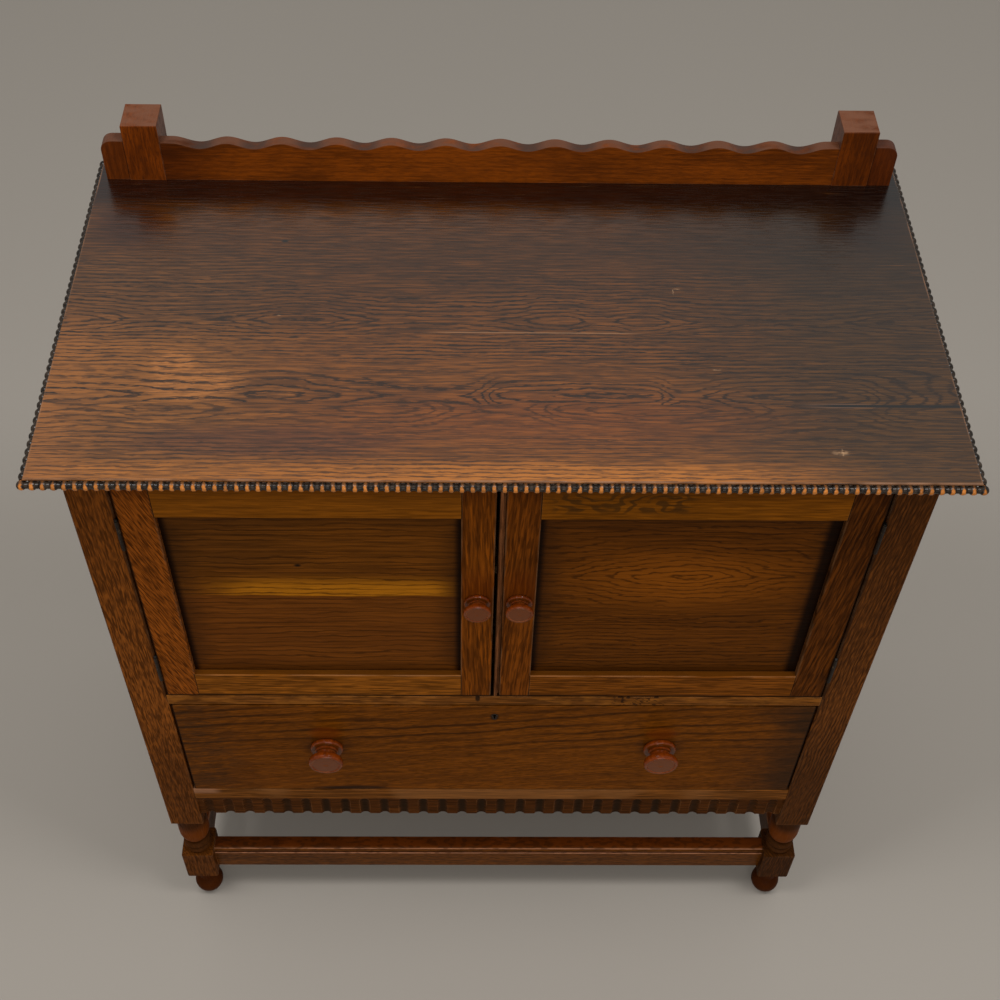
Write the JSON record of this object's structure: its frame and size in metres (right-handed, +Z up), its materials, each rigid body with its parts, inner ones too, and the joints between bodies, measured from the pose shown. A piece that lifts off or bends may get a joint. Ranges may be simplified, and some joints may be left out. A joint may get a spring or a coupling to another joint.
{
  "type": "cupboard",
  "caption": "Free-standing oak cupboard on turned legs: panelled doors over a long drawer, fluted apron, stretchers, bobbin-edged top and a wavy gallery.",
  "frame": {"origin": "bottom centre of the overall box, on the floor", "axes": "+Z up, -Y towards the user (the doors and the drawer open that way), +X to the user's right"},
  "size_m": [0.9636, 0.5088, 1.144],
  "materials": {
    "dark_oak": "waxed, worn, dark brown",
    "dark_moulding": "ebonised and worn on the crests",
    "gallery_oak": "waxed, reddish brown",
    "frame_oak": "waxed, mid brown",
    "door_oak": "waxed, golden brown",
    "panel_oak": "waxed, golden brown",
    "inner_oak": "unpolished",
    "turned_wood": "polished, reddish",
    "old_brass": "tarnished",
    "steel": "dull"
  },
  "bodies": {
    "carcass": {"top_board_front": "dark_oak", "top_board_middle": "dark_oak", "top_board_rear": "dark_oak", "bead_moulding_front": "dark_moulding", "bead_moulding_left": "dark_moulding", "bead_moulding_right": "dark_moulding", "gallery_board": "gallery_oak", "gallery_ears": "gallery_oak", "gallery_posts": "gallery_oak", "front_left_leg": "frame_oak", "front_right_leg": "frame_oak", "rear_left_leg": "frame_oak", "rear_right_leg": "frame_oak", "left_top_rail": "frame_oak", "left_bottom_rail": "frame_oak", "left_side_panel": "panel_oak", "right_top_rail": "frame_oak", "right_bottom_rail": "frame_oak", "right_side_panel": "panel_oak", "rear_top_rail": "inner_oak", "rear_bottom_rail": "inner_oak", "rear_panel": "inner_oak", "front_top_rail": "frame_oak", "middle_rail": "frame_oak", "bottom_rail": "frame_oak", "fluted_apron": "frame_oak", "front_stretcher": "frame_oak", "left_stretcher": "frame_oak", "right_stretcher": "frame_oak", "rear_stretcher": "frame_oak", "cupboard_floor": "inner_oak", "shelf": "inner_oak", "shelf_bearers": "inner_oak", "drawer_runners": "inner_oak", "door_stops": "inner_oak", "hinge_frame_leaves": "old_brass", "hinge_pins": "steel"},
    "left_door": {"left_door_hinge_stile": "door_oak", "left_door_meeting_stile": "door_oak", "left_door_top_rail": "door_oak", "left_door_bottom_rail": "door_oak", "left_door_panel": "panel_oak", "left_door_knob": "turned_wood", "left_door_hinge_leaves": "old_brass"},
    "right_door": {"right_door_hinge_stile": "door_oak", "right_door_meeting_stile": "door_oak", "right_door_top_rail": "door_oak", "right_door_bottom_rail": "door_oak", "right_door_panel": "panel_oak", "right_door_knob": "turned_wood", "right_door_hinge_leaves": "old_brass", "closing_bead": "door_oak"},
    "drawer": {"drawer_front": "door_oak", "drawer_left_side": "inner_oak", "drawer_right_side": "inner_oak", "drawer_back": "inner_oak", "drawer_bottom": "inner_oak", "drawer_knobs": "turned_wood", "drawer_lock": "steel"},
    "bolt": {"lock_bolt": "old_brass"}
  },
  "joints": [
    {"name": "left_door_hinge", "type": "hinge", "parent": "carcass", "child": "left_door", "pos_m": [-0.4082, -0.21208, 0.795], "axis": [0, 0, -1], "range_deg": [0, 170]},
    {"name": "right_door_hinge", "type": "hinge", "parent": "carcass", "child": "right_door", "pos_m": [0.4082, -0.21208, 0.795], "axis": [0, 0, 1], "range_deg": [0, 170]},
    {"name": "drawer_slide", "type": "slide", "parent": "carcass", "child": "drawer", "axis": [0, -1, 0], "range_m": [0, 0.33]},
    {"name": "lock_bolt_slide", "type": "slide", "parent": "drawer", "child": "bolt", "axis": [0, 0, 1], "range_m": [0, 0.009]}
  ]
}
